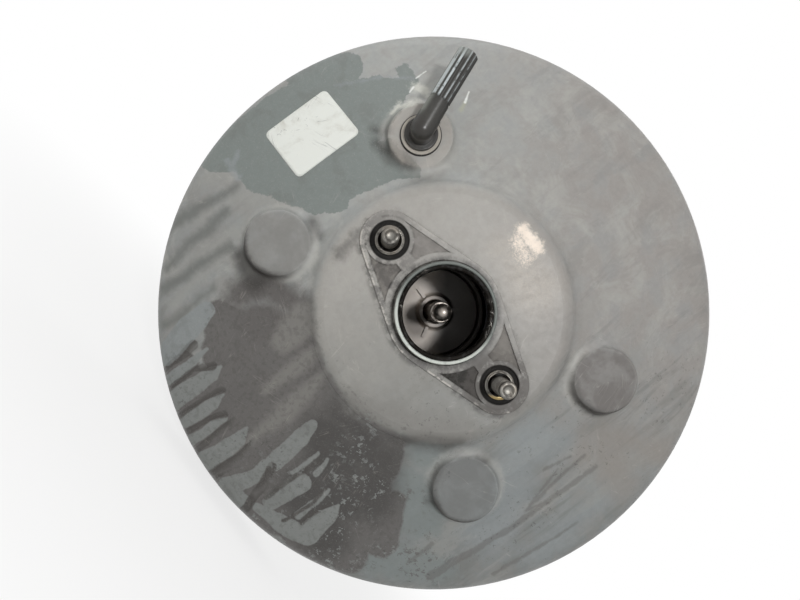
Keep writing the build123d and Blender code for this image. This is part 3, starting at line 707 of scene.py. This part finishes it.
moulded = {
    "rubber": ((34, 33, 32), (120, 114, 104), 0.35, 0.62, 1400.0, 0.00005),
    "nylon": ((42, 41, 39), (150, 146, 136), 0.40, 0.45, 900.0, 0.00008),
    "hub": ((158, 148, 136), (120, 108, 94), 0.35, 0.48, 500.0, 0.0001),
    "retainer": ((212, 202, 192), (170, 158, 144), 0.25, 0.34, 300.0, 0.00004),
    "grommet": ((30, 28, 27), (176, 170, 160), 0.0, 0.7, 1100.0, 0.00008),
    "elbow": ((44, 41, 37), (120, 122, 116), 0.10, 0.30, 700.0, 0.00006),
    "felt": ((120, 116, 106), (70, 64, 58), 0.5, 0.95, 2600.0, 0.0005),
    "foam": ((60, 60, 60), (110, 104, 92), 0.3, 0.9, 1900.0, 0.0009),
}
elbowLightAndWear = {
    "foot": (-71.3, 0.0, 41.15),
    "along": (-0.3665, 0.0, 0.9304),
    "left": (-0.9304, 0.0, -0.3665),
    "flutesFrom": 15.0,
    "tipFrom": 35.5,
    # distance to the left of the arm's axis, half width and strength of each pale stripe, partly rubbed lands and
    # partly painted reflection
    "stripes": ((3.9, 0.75, 0.75), (1.5, 0.5, 0.9), (-1.6, 0.3, 0.6), (-3.6, 0.25, 0.4)),
    "stripe": tone(196, 204, 206),
    # the edge tint is painted light on the arm's left side, the black is painted shade on its right side
    "edge": tone(124, 127, 119),
    "black": tone(24, 21, 18),
    "tip": tone(138, 142, 138),
}


def elbowLightAndWearMarks(where, colour):
    # painted light and shade: a greyer lit left edge and a black shaded right edge; and pale stripes, partly lands
    # rubbed where a hose was pushed on and partly painted reflections
    look = elbowLightAndWear
    offset = vectorMath("SUBTRACT", scaled(where, flattened), look["foot"])
    reach, left = dot(offset, look["along"]), dot(offset, look["left"])
    rubbed = cloud(where, 260.0, 5.0, 0.7)
    colour = blend(remap(left, -2.0, -4.6, 0.0, 0.8), colour, look["black"])
    onArm = remap(reach, 3.0, 8.0)
    colour = blend(times(remap(left, 2.0, 4.8, 0.0, 0.8), onArm), colour, look["edge"])
    flutes = look["flutesFrom"]
    fluted = remap(calc("MULTIPLY_ADD", rubbed, 4.0, reach), flutes + 1.5, flutes + 3.5)
    for middle, half, strength in look["stripes"]:
        near = remap(absolute(minus(left, middle)), half * 1.4, half * 0.6)
        colour = blend(times(near, fluted, remap(rubbed, 0.36, 0.52), strength), colour, look["stripe"])
    tip = remap(calc("MULTIPLY_ADD", rubbed, 3.0, reach), look["tipFrom"], 40.0)
    return blend(times(tip, remap(left, -2.6, 0.0), 0.75), colour, look["tip"])


def mouldedMaterial(name):
    plain, dust, dustShare, rough, grain, depth = moulded[name]
    material, shader = startMaterial(name)
    where = place()
    shade = cloud(where, 45.0, 4.0, 0.6)
    colour = blend(remap(shade, 0.35, 0.7, 0.0, 0.35), tone(*plain), tone(20, 19, 18))
    dusty = useGroup(dustFilm, {"Color": colour, "Roughness": rough, "Dust Color": tone(*dust),
                                "Amount": dustShare, "Patch Scale": 60.0})
    scratches = useGroup(fineScratches, {"Scale": 110.0, "Amount": 0.25})["Mask"]
    colour = blend(scratches, dusty["Color"], tone(*dust))
    if name in ("hub", "retainer"):
        colour = paintedHubShadows(where, colour)
    if name == "elbow":
        colour = elbowLightAndWearMarks(where, colour)
    if name == "grommet":
        facing = split(put("ShaderNodeNewGeometry").outputs["Normal"])["Y"]
        settled = times(remap(facing, -0.75, -0.98), remap(shade, 0.75, 0.45, 0.7, 1.0))
        colour = blend(times(settled, 0.95), colour, tone(*dust))
    join(colour, shader["Base Color"])
    join(dusty["Roughness"], shader["Roughness"])
    bump(shader, cloud(where, grain, 3.0, 0.6), 0.5, depth)
    return material


stickerLook = {
    "paper": tone(226, 228, 222),
    "stain": tone(176, 172, 160),
    "scuff": tone(128, 130, 128),
    "rough": 0.55,
}


def stickerMaterial():
    look = stickerLook
    material, shader = startMaterial("sticker paper")
    where = place()
    stain = remap(cloud(where, 70.0, 5.0, 0.65, 0.5), 0.45, 0.7, 0.0, 0.55)
    colour = blend(stain, look["paper"], look["stain"])
    scuffs = useGroup(fineScratches, {"Scale": 60.0, "Amount": 0.4})["Mask"]
    colour = blend(scuffs, colour, look["scuff"])
    specked = useGroup(grimeSpecks, {"Color": colour, "Speck Color": look["scuff"], "Scale": 420.0, "Size": 0.25,
                                     "Amount": 0.7})
    join(specked["Color"], shader["Base Color"])
    join(look["rough"], shader["Roughness"])
    bump(shader, cloud(where, 1500.0, 3.0), 0.3, 0.00003)
    return material


shellFront = shellMaterial("aged shell paint", True)
shellRear = shellMaterial("rear shell paint", False)
metal = {name: metalMaterial(name) for name in metals}
soft = {name: mouldedMaterial(name) for name in moulded}
stickerPaper = stickerMaterial()
print("materials made")

nodeFinish = (
    (shellFront, ("front_shell",)), (shellRear, ("rear_shell",)), (metal["collar"], ("front_reinforcement",)),
    (metal["plate"], ("rear_reinforcement",)), (metal["hubPlate"], ("diaphragm_plate",)),
    (metal["zinc"], ("stop_key", "valve_retainer", "input_rod", "lock_nut", "clevis")),
    (metal["polished"], ("output_rod", "output_rod_tip", "control_plunger")),
    (metal["spring"], ("poppet_spring", "rod_spring")), (soft["retainer"], ("rod_retainer",)),
    (soft["rubber"], ("neck_seal", "reaction_disc", "poppet_valve")), (soft["grommet"], ("port_grommet",)),
    (soft["nylon"], ("neck_bearing",)), (soft["elbow"], ("vacuum_elbow",)), (soft["hub"], ("valve_body",)),
    (soft["felt"], ("silencer_felt",)), (soft["foam"], ("air_filter",)),
)
for finish, names in nodeFinish:
    for name in names:
        nodes[name].data.materials.clear()
        nodes[name].data.materials.append(finish)
print("CAD nodes finished:", sum(len(names) for finish, names in nodeFinish))


# --- mesh helpers

def gridMesh(name, rows, columns, pointAt, material, closed=True):
    mesh = bpy.data.meshes.new(name)
    points = [tuple(value * mm for value in pointAt(row, column)) for row in range(rows) for column in range(columns)]
    faces = []
    for row in range(rows - 1):
        for column in range(columns if closed else columns - 1):
            after = (column + 1) % columns
            low, high = row * columns, (row + 1) * columns
            faces.append((low + column, low + after, high + after, high + column))
    mesh.from_pydata(points, [], faces)
    welded = bmesh.new()
    welded.from_mesh(mesh)
    bmesh.ops.remove_doubles(welded, verts=welded.verts, dist=0.025 * mm)
    bmesh.ops.recalc_face_normals(welded, faces=welded.faces)
    welded.to_mesh(mesh)
    welded.free()
    mesh.validate()
    mesh.polygons.foreach_set("use_smooth", [True] * len(mesh.polygons))
    mesh.materials.append(material)
    piece = bpy.data.objects.new(name, mesh)
    bpy.context.scene.collection.objects.link(piece)
    return piece


def turnedMesh(name, profile, material, segments=96, centre=(0.0, 0.0), shape=None):
    def pointAt(row, column):
        radius, y = profile[row]
        angle = 2 * math.pi * column / segments
        if shape:
            radius = shape(radius, y, angle)
        return (centre[0] + radius * math.cos(angle), y, centre[1] + radius * math.sin(angle))
    return gridMesh(name, len(profile), segments, pointAt, material)


def rounded(corners, steps=5):
    # profile points with each (radius, y, fillet) corner turned into a small arc
    points = []
    for index, (cornerR, cornerY, fillet) in enumerate(corners):
        here = Vector((cornerR, cornerY))
        if index in (0, len(corners) - 1) or fillet == 0:
            points.append((cornerR, cornerY))
            continue
        before = (Vector(corners[index - 1][:2]) - here).normalized()
        after = (Vector(corners[index + 1][:2]) - here).normalized()
        half = before.angle(after) / 2
        reach = fillet / math.tan(half)
        middle = here + (before + after).normalized() * (fillet / math.sin(half))
        first, last = here + before * reach - middle, here + after * reach - middle
        sweep = first.angle_signed(last)
        for step in range(steps + 1):
            arm = first.copy()
            arm.rotate(Matrix.Rotation(-sweep * step / steps, 2))
            points.append(tuple(middle + arm))
    return points


# --- studs, with rolled threads

stud = {
    "pitch": 1.25,
    "threadDepth": 0.62,
    "rowsPerPitch": 8,
    "segments": 40,
}


def threadRadius(radius, y, angle, pitch, depth, handed):
    phase = (y / pitch + handed * angle / (2 * math.pi)) % 1.0
    rise = abs(2 * phase - 1)
    return radius - depth * min(1.0, max(0.0, (rise - 0.12) / 0.76))


def threadedPiece(name, centre, base, threadFrom, threadTo, end, material, major=sizes["studRadius"]):
    # base and end are profiles before and after the thread, as (radius, y, fillet)
    look = stud
    away = 1 if threadTo > threadFrom else -1
    rows = max(2, int(abs(threadTo - threadFrom) / look["pitch"] * look["rowsPerPitch"]))
    threadRows = [(major, threadFrom + (threadTo - threadFrom) * row / rows) for row in range(rows + 1)]
    profile = rounded(base) + threadRows + rounded(end)
    low, high = min(threadFrom, threadTo), max(threadFrom, threadTo)

    def shape(radius, y, angle):
        if low <= y <= high and abs(radius - major) < 1e-6:
            fade = min(1.0, abs(y - threadFrom) / look["pitch"], abs(y - threadTo) / look["pitch"])
            return threadRadius(radius, y, angle, look["pitch"], look["threadDepth"] * fade, away)
        return radius
    return turnedMesh(name, profile, material, look["segments"], centre, shape)


def masterCylinderStuds():
    pieces = []
    seat = sizes["plateauY"]
    for side in (-1, 1):
        base = ((0.01, seat + 5.0, 0), (7.0, seat + 5.0, 0.3), (7.0, seat + 3.6, 0), (4.2, seat + 3.6, 0),
                (4.2, seat, 0), (6.8, seat, 0), (6.8, seat - 1.3, 0.4), (6.0, seat - 1.5, 0.2),
                (5.9, seat - 1.9, 0.2), (5.3, seat - 1.9, 0.2), (5.1, seat - 0.4, 0.2), (4.0, seat - 0.4, 0))
        end = ((3.95, -115.4, 0), (3.7, -116.8, 0.5), (2.6, -116.95, 0.4), (1.6, -116.1, 0.6), (0.01, -115.7, 0))
        pieces.append(threadedPiece("masterCylinderStud" + ("Left" if side < 0 else "Right"),
                                    (side * sizes["studX"], 0.0), base, seat - 2.2, -115.2, end, metal["seatedStud"]))
    return pieces


def bulkheadStuds():
    pieces = []
    for sideX in (-1, 1):
        for sideZ in (-1, 1):
            base = ((0.01, -6.5, 0), (7.0, -6.5, 0.5), (7.0, -3.6, 0), (4.2, -3.6, 0), (4.2, 0.0, 0), (4.0, 0.3, 0))
            end = ((3.9, 24.6, 0), (2.9, 25.9, 0.3), (0.01, 25.9, 0))
            label = "bulkheadStud" + ("R" if sideX > 0 else "L") + ("T" if sideZ > 0 else "B")
            centre = (sideX * sizes["rearStuds"][0], sideZ * sizes["rearStuds"][1])
            pieces.append(threadedPiece(label, centre, base, 1.5, 24.4, end, metal["stud"]))
    return pieces


frontStuds = masterCylinderStuds()
rearStuds = bulkheadStuds()
for piece in frontStuds + rearStuds:
    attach(piece, "housing")
for piece in frontStuds:
    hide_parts("master_cylinder_studs")
for piece in rearStuds:
    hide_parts("bulkhead_studs")
print("studs made:", len(frontStuds + rearStuds))


# --- push rod: ball, collar and a threaded end for the clevis

pushRod = {
    "ballY": 12.0,
    "ballRadius": 6.0,
    "neckRadius": 3.6,
    "shankRadius": 5.0,
    "collar": (43.6, 45.0, 11.0),
    "threadFrom": 87.5,
    "threadTo": 116.2,
    "end": 117.0,
}


def pushRodPiece():
    look = pushRod
    ballY, ball, neck, shank = look["ballY"], look["ballRadius"], look["neckRadius"], look["shankRadius"]
    last = math.pi - math.asin(neck / ball)
    base = [(max(0.01, ball * math.sin(last * step / 20)), ballY - ball * math.cos(last * step / 20), 0)
            for step in range(21)]
    collarFrom, collarTo, collar = look["collar"]
    base += [(neck, 21.0, 0), (shank, 24.0, 0), (shank, collarFrom, 0), (collar, collarFrom, 0.3),
             (collar, collarTo, 0.3), (shank, collarTo, 0), (shank - 0.02, look["threadFrom"] - 0.1, 0)]
    end = ((shank - 0.02, look["threadTo"] + 0.05, 0), (shank - 0.9, look["end"], 0.3), (0.01, look["end"], 0))
    return threadedPiece("pushRod", (0.0, 0.0), base, look["threadFrom"], look["threadTo"], end, metal["zinc"], shank)


rodPiece = pushRodPiece()
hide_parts("input_rod")
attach(rodPiece, "pedal_rod")
print("push rod made")


# --- springs, each with a mesh of its own

spring = {
    "meanRadius": 29.6,
    "wireRadius": 1.7,
    "from": -92.4,
    "to": -12.8,
    "turns": 6.5,
    "flatTurns": 0.75,
    "stepsPerTurn": 56,
    "wireSides": 12,
}
rodSpringLook = {
    "meanRadius": 9.8,
    "wireRadius": 0.7,
    "from": 35.4,
    "to": 43.0,
    "turns": 3.5,
    "flatTurns": 0.3,
    "stepsPerTurn": 48,
    "wireSides": 10,
    "travel": 1.5,
}


def springMesh(name, look):
    length = look["to"] - look["from"] - 2 * look["wireRadius"]
    total = int(look["turns"] * look["stepsPerTurn"])
    flat = look["flatTurns"]

    def height(turn):
        working = min(1.0, max(0.0, (turn - flat) / (look["turns"] - 2 * flat)))
        return look["from"] + look["wireRadius"] + working * length

    def pointAt(row, column):
        turn = look["turns"] * row / total
        angle = 2 * math.pi * turn
        around = 2 * math.pi * column / look["wireSides"]
        ends = 0.15 if row in (0, total) else 1.0
        out = look["meanRadius"] + ends * look["wireRadius"] * math.cos(around)
        y = height(turn) + ends * look["wireRadius"] * math.sin(around)
        return (out * math.cos(angle), y, out * math.sin(angle))
    return gridMesh(name, total + 1, look["wireSides"], pointAt, metal["spring"])


returnSpring, rodSpring = springMesh("returnSpring", spring), springMesh("rodSpring", rodSpringLook)
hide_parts("return_spring")
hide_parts("rod_spring")
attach(returnSpring, "housing")
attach(rodSpring, "power_piston")
for piece, look, joint, travel in ((returnSpring, spring, "piston_slide", sizes["pistonStroke"]),
                                   (rodSpring, rodSpringLook, "valve_slide", rodSpringLook["travel"])):
    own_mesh(piece)
print("springs made")


# --- diaphragm: the bead stays in the crimp, and the rolling part has a mesh of its own

diaphragm = {
    "beadFrom": 133.0,
    "beadTo": 141.2,
    "beadY": (-48.9, -46.5),
    "rollFrontY": -63.4,
    "rollBackY": -8.6,
}


def diaphragmPieces():
    look = diaphragm
    low, high = look["beadY"]
    bead = [(look["beadFrom"], high), (look["beadTo"], high), (look["beadTo"], low), (look["beadFrom"], low),
            (look["beadFrom"], high)]
    back = rounded(((132.8, -46.6, 0), (130.4, -46.6, 4.0), (130.4, -61.0, 5.4), (119.4, -61.0, 5.4),
                    (119.4, -38.5, 6.0), (61.0, -8.6, 8.0), (26.1, -8.6, 0)), 7)
    front = rounded(((132.8, -48.8, 0), (132.7, -48.8, 0), (132.7, -63.3, 7.6), (117.1, -63.3, 3.2),
                     (117.1, -40.0, 3.6), (60.4, -10.9, 9.0), (26.1, -10.9, 0)), 7)
    profile = back + front[::-1] + back[:1]
    return (turnedMesh("diaphragmBead", bead, soft["rubber"], 128),
            turnedMesh("diaphragmRoll", profile, soft["rubber"], 128))


bead, roll = diaphragmPieces()
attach(bead, "housing")
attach(roll, "housing")
for piece in (bead, roll):
    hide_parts("diaphragm")
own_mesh(roll)
print("diaphragm made")


# --- dust boot: neck cuff, bellows and rod cuff

boot = {
    "cuffInner": 27.05,
    "cuffOuter": 28.8,
    "foldOuter": 31.6,
    "foldInner": 26.0,
    "wall": 1.5,
    "folds": 4,
    "pitch": 8.0,
    "bellowsFrom": 31.4,
    "bellowsTo": 75.0,
    "rowsPerFold": 12,
    "ventCircle": 20.5,
    "ventRadius": 2.2,
    "vents": 4,
}


def cutVents(piece):
    look = boot
    for index in range(look["vents"]):
        angle = 2 * math.pi * index / look["vents"]
        bpy.ops.mesh.primitive_cylinder_add(
            vertices=32, radius=look["ventRadius"] * mm, depth=16 * mm, rotation=(math.pi / 2, 0, 0),
            location=(look["ventCircle"] * mm * math.cos(angle), 71 * mm, look["ventCircle"] * mm * math.sin(angle)))
        cutter = bpy.context.object
        hole = piece.modifiers.new("vent", "BOOLEAN")
        hole.operation = "DIFFERENCE"
        hole.object = cutter
        bpy.context.view_layer.objects.active = piece
        bpy.ops.object.modifier_apply(modifier=hole.name)
        bpy.data.objects.remove(cutter)


def bootPieces():
    look = boot
    innerR, outerR = look["cuffInner"], look["cuffOuter"]
    cuff = rounded(((innerR, 13.2, 0), (outerR, 13.2, 0.5), (outerR + 0.9, 14.6, 0.8), (outerR, 16.4, 0.5),
                    (outerR, 27.0, 0.6), (29.6, 28.6, 0.6), (29.6, 31.4, 0.4), (innerR, 31.4, 0),
                    (innerR, 13.2, 0)), 4)
    cuffPiece = turnedMesh("bootNeckCuff", cuff, soft["rubber"], 128)

    outer = [(28.8, look["bellowsFrom"])]
    for fold in range(look["folds"]):
        for row in range(look["rowsPerFold"]):
            phase = (row + 0.5) / look["rowsPerFold"]
            swell = 0.5 - 0.5 * math.cos(2 * math.pi * phase)
            radius = look["foldInner"] + (look["foldOuter"] - look["foldInner"]) * swell ** 0.8
            outer.append((radius, look["bellowsFrom"] + look["pitch"] * (fold + phase)))
    outer += rounded(((26.4, 63.6, 0), (28.6, 66.6, 1.6), (24.0, 71.0, 2.0), (15.5, 74.4, 2.0), (12.0, 75.2, 0)), 4)
    inner = [(radius - look["wall"], y - 0.25) for radius, y in outer[::-1]]
    bellows = turnedMesh("bootBellows", outer + inner + outer[:1], soft["rubber"], 128)
    cutVents(bellows)

    end = rounded(((5.15, 73.6, 0), (13.6, 73.4, 0.4), (13.8, 74.6, 0.5), (9.0, 76.6, 1.6), (7.6, 79.0, 1.0),
                   (7.0, 85.8, 0.6), (5.15, 85.8, 0), (5.15, 73.6, 0)), 4)
    endPiece = turnedMesh("bootRodCuff", end, soft["rubber"], 64)
    return cuffPiece, bellows, endPiece


neckCuff, bellows, rodCuff = bootPieces()
for piece in (neckCuff, bellows, rodCuff):
    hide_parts("dust_boot")
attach(neckCuff, "housing")
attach(bellows, "housing")
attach(rodCuff, "pedal_rod")
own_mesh(bellows)
print("dust boot made")


# --- sticker on the cone

sticker = {
    "centre": (-105.0, 2.6),
    "size": (28.4, 36.4),
    "corner": 2.6,
    "stand": 0.16,
    "sunk": 0.1,
    "rings": 14,
}


def coneY(x, z):
    footR, footY = sizes["coneFoot"]
    topR, topY = sizes["coneTop"]
    return footY + (footR - math.hypot(x, z)) * (topY - footY) / (footR - topR)


def stickerPiece():
    look = sticker
    halfX, halfZ, corner = look["size"][0] / 2, look["size"][1] / 2, look["corner"]

    def cornerPoint(quarter, turn):
        signX, signZ = ((1, 1), (-1, 1), (-1, -1), (1, -1))[quarter % 4]
        angle = math.pi / 2 * turn
        x, z = signX * (halfX - corner), signZ * (halfZ - corner)
        return (x + corner * math.cos(angle), z + corner * math.sin(angle))

    outline = []
    for quarter in range(4):
        outline += [cornerPoint(quarter, quarter + step / 8) for step in range(9)]
        start, goal = outline[-1], cornerPoint(quarter + 1, quarter + 1)
        outline += [(start[0] + (goal[0] - start[0]) * step / 8, start[1] + (goal[1] - start[1]) * step / 8)
                    for step in range(1, 8)]

    def pointAt(row, column):
        share = min(1.0, row / look["rings"]) if row < look["rings"] + 2 else 0.0
        x, z = (look["centre"][axis] + outline[column][axis] * share for axis in (0, 1))
        stand = look["stand"] if row <= look["rings"] else -look["sunk"]
        return (x, coneY(x, z) - stand, z)
    return gridMesh("sticker", look["rings"] + 3, len(outline), pointAt, stickerPaper)


stickerObject = stickerPiece()
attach(stickerObject, "housing")
print("sticker made")


# --- stage, light and camera

stage = {
    "floorZ": -0.1445,
    "floorSize": 6.0,
    "floorColour": tone(244, 244, 242),
    "world": 0.26,
    "whiteNear": 0.74,
    "shadowNear": 0.10,
    "shadowFar": 0.34,
}


def seenDirectly():
    rays = put("ShaderNodeLightPath").outputs
    return most(most(rays["Is Camera Ray"], rays["Is Glossy Ray"]), rays["Is Transmission Ray"])


def whiteForCamera(shader, strength):
    # camera, glossy and transmission rays see plain white, other rays the shader
    seen = seenDirectly()
    white = put("ShaderNodeEmission", {"Color": (1, 1, 1, 1), "Strength": 1.0})
    return put("ShaderNodeMixShader", {0: times(seen, strength), 1: shader, 2: white.outputs[0]}).outputs[0]


def makeFloor():
    material, shader = startMaterial("floor")
    join(stage["floorColour"], shader["Base Color"])
    join(0.9, shader["Roughness"])
    away = lengthOf(scaled(place(), (1.0, 1.0, 0.0)))
    fade = remap(away, stage["shadowNear"], stage["shadowFar"], stage["whiteNear"], 1.0)
    surface = tree.nodes["Material Output"].inputs["Surface"]
    join(whiteForCamera(surface.links[0].from_socket, fade), surface)
    bpy.ops.mesh.primitive_plane_add(size=stage["floorSize"], location=(0, 0, stage["floorZ"]))
    floor = bpy.context.object
    floor.name = "floor"
    floor.data.materials.append(material)


def makeWorld():
    global tree
    world = bpy.data.worlds.new("studio")
    bpy.context.scene.world = world
    world.use_nodes = True
    tree = world.node_tree
    tree.nodes.clear()
    dim, bright = [put("ShaderNodeBackground", {"Color": (1, 1, 1, 1), "Strength": strength}).outputs[0]
                   for strength in (stage["world"], 1.0)]
    mix = put("ShaderNodeMixShader", {0: seenDirectly(), 1: dim, 2: bright})
    put("ShaderNodeOutputWorld", {"Surface": mix.outputs[0]})


lamps = {
    "key": {"place": (0.122, -0.924, 0.211), "size": 0.09, "power": 3.3},
    "window": {"place": (-0.66, -0.35, 0.60), "size": 0.7, "power": 3.2},
    "behind": {"place": (0.3, 0.8, 0.6), "size": 0.8, "power": 3.0},
}


def makeLamps():
    for name, look in lamps.items():
        data = bpy.data.lights.new(name, "AREA")
        data.size = look["size"]
        data.energy = look["power"]
        lamp = bpy.data.objects.new(name, data)
        lamp.location = look["place"]
        aim = Vector((0, -0.06, 0)) - lamp.location
        lamp.rotation_euler = aim.to_track_quat("-Z", "Y").to_euler()
        bpy.context.scene.collection.objects.link(lamp)


cameraLook = {
    "place": (-0.02146, -0.3759, -0.02227),
    "forward": (0.01687, 0.99925, 0.03476),
    "rollDegrees": 52.804,
    "lens": 27.9,
    "sensor": 36.0,
}


def makeCamera():
    look = cameraLook
    data = bpy.data.cameras.new("camera")
    data.lens = look["lens"]
    data.sensor_width = look["sensor"]
    data.clip_start = 0.01
    camera = bpy.data.objects.new("camera", data)
    forward = Vector(look["forward"]).normalized()
    roll = math.radians(look["rollDegrees"])
    level = Vector((math.cos(roll), 0, math.sin(roll)))
    right = (level - level.dot(forward) * forward).normalized()
    up = right.cross(forward)
    turn = Matrix((right, up, -forward)).transposed().to_4x4()
    camera.matrix_world = Matrix.Translation(look["place"]) @ turn
    bpy.context.scene.collection.objects.link(camera)
    bpy.context.scene.camera = camera


makeFloor()
makeWorld()
makeLamps()
makeCamera()
bpy.context.scene.view_settings.view_transform = "Standard"
print("stage, light and camera set")
